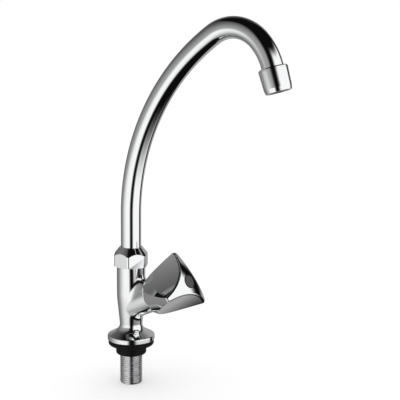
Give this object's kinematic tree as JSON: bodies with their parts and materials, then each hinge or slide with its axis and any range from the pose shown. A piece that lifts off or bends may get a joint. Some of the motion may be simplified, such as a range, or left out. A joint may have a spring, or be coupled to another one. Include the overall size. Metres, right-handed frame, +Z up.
{
  "type": "deck-mounted cold water tap",
  "caption": "Tall pillar tap with a swivelling swan-neck spout ending in an aerator, a raked valve branch with a three-winged handle, a flange, a black deck collar and a threaded tail.",
  "frame": {"origin": "centre of the underside of the deck collar, on the axis of the threaded tail, in the plane of the deck", "axes": "+Z up along the tail, the body and the swivel axis of the spout; the spout at rest and the handle point to -Y; +X is to the right of a person who stands in front of the handle and looks at the tap"},
  "size_m": [0.0535, 0.1858, 0.3434],
  "materials": {
    "chromed_brass": "bright chromium plate on brass",
    "handle_chrome": "bright chromium plate on a die-cast handle",
    "button_chrome": "bright chromium plate on a plain button",
    "plated_steel": "bright plated thread",
    "screen_steel": "woven wire",
    "plain_brass": "machined",
    "black_plastic": "smooth black moulding",
    "sealing_rubber": "matt black",
    "white_plastic": "plain white moulding"
  },
  "bodies": {
    "body": {"tap_body": "chromed_brass", "threaded_tail": "plated_steel", "tail_washer": "sealing_rubber", "base_gasket": "sealing_rubber", "base_collar": "black_plastic", "spout_nut": "chromed_brass", "bonnet": "plain_brass", "bonnet_seal": "sealing_rubber", "thrust_washer": "white_plastic"},
    "spout": {"spout_tube": "chromed_brass", "spout_ferrule": "plain_brass", "spout_rings": "sealing_rubber", "slip_ring": "white_plastic", "outlet_nipple": "chromed_brass", "outlet_washer": "sealing_rubber", "aerator_housing": "chromed_brass", "aerator_cartridge": "white_plastic", "aerator_screens": "screen_steel", "aerator_grille": "white_plastic"},
    "handle": {"handle": "handle_chrome", "spline_bush": "white_plastic", "handle_screw": "plated_steel", "index_button": "button_chrome", "spindle": "plain_brass", "spindle_rings": "sealing_rubber", "spindle_circlip": "plated_steel"},
    "jumper": {"jumper": "plain_brass", "valve_washer": "sealing_rubber", "washer_screw": "plain_brass"}
  },
  "joints": [
    {"name": "spout_swivel", "type": "hinge", "parent": "body", "child": "spout", "pos_m": [0, 0, 0.0841], "axis": [0, 0, 1], "continuous": true},
    {"name": "handle_turn", "type": "hinge", "parent": "body", "child": "handle", "pos_m": [0, 0, 0.03655], "axis": [0, -0.8886, 0.4586], "range_deg": [0, 900]},
    {"name": "jumper_lift", "type": "slide", "parent": "body", "child": "jumper", "axis": [0, -0.8886, 0.4586], "range_m": [0, 0.0044]}
  ],
  "couplings": [
    {"joint": "jumper_lift", "follows": "handle_turn", "m_per_rad": 0.00027852}
  ]
}
